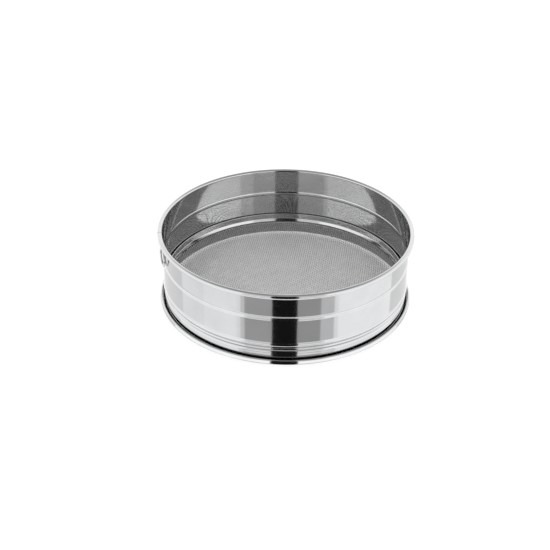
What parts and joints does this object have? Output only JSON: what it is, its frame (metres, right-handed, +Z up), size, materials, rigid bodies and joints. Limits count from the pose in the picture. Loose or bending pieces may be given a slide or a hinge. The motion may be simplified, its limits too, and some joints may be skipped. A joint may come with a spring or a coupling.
{
  "type": "soil sieve",
  "caption": "Round polished stainless steel soil sieve: grooved drum with rolled rims, lift-out woven wire screen in a folded ring, and a loose hanging ring.",
  "frame": {"origin": "centre of the circle that the sieve stands on, at floor level", "axes": "+Z up along the drum's axis; the hanging ring is on the -X side, turned 16.5 degrees towards -Y"},
  "size_m": [0.3016, 0.3016, 0.092],
  "materials": {
    "drum_steel": "mirror-polished stainless steel sheet",
    "screen_ring_steel": "bright rolled stainless steel",
    "cloth_wire_steel": "drawn stainless steel wire",
    "core_wire_steel": "drawn stainless steel wire",
    "hanger_steel": "polished stainless steel",
    "weld_steel": "ground weld"
  },
  "bodies": {
    "drum": {"drum_shell": "drum_steel", "drum_seam_weld": "weld_steel", "rim_core_wire": "core_wire_steel", "hem_core_wire": "core_wire_steel", "hanger_strap": "hanger_steel", "hanger_plug_welds": "weld_steel"},
    "screen": {"screen_lower_ring": "screen_ring_steel", "screen_upper_ring": "screen_ring_steel", "screen_weft_wires": "cloth_wire_steel", "screen_warp_wires": "cloth_wire_steel"},
    "ring": {"hanging_ring": "hanger_steel"}
  },
  "joints": [
    {"name": "screen_lift", "type": "slide", "parent": "drum", "child": "screen", "axis": [0, 0, 1], "range_m": [0, 0.09]},
    {"name": "ring_swing", "type": "hinge", "parent": "drum", "child": "ring", "pos_m": [-0.1416, -0.04194, 0.083], "axis": [-0.284, 0.9588, 0], "range_deg": [0, 120]}
  ]
}
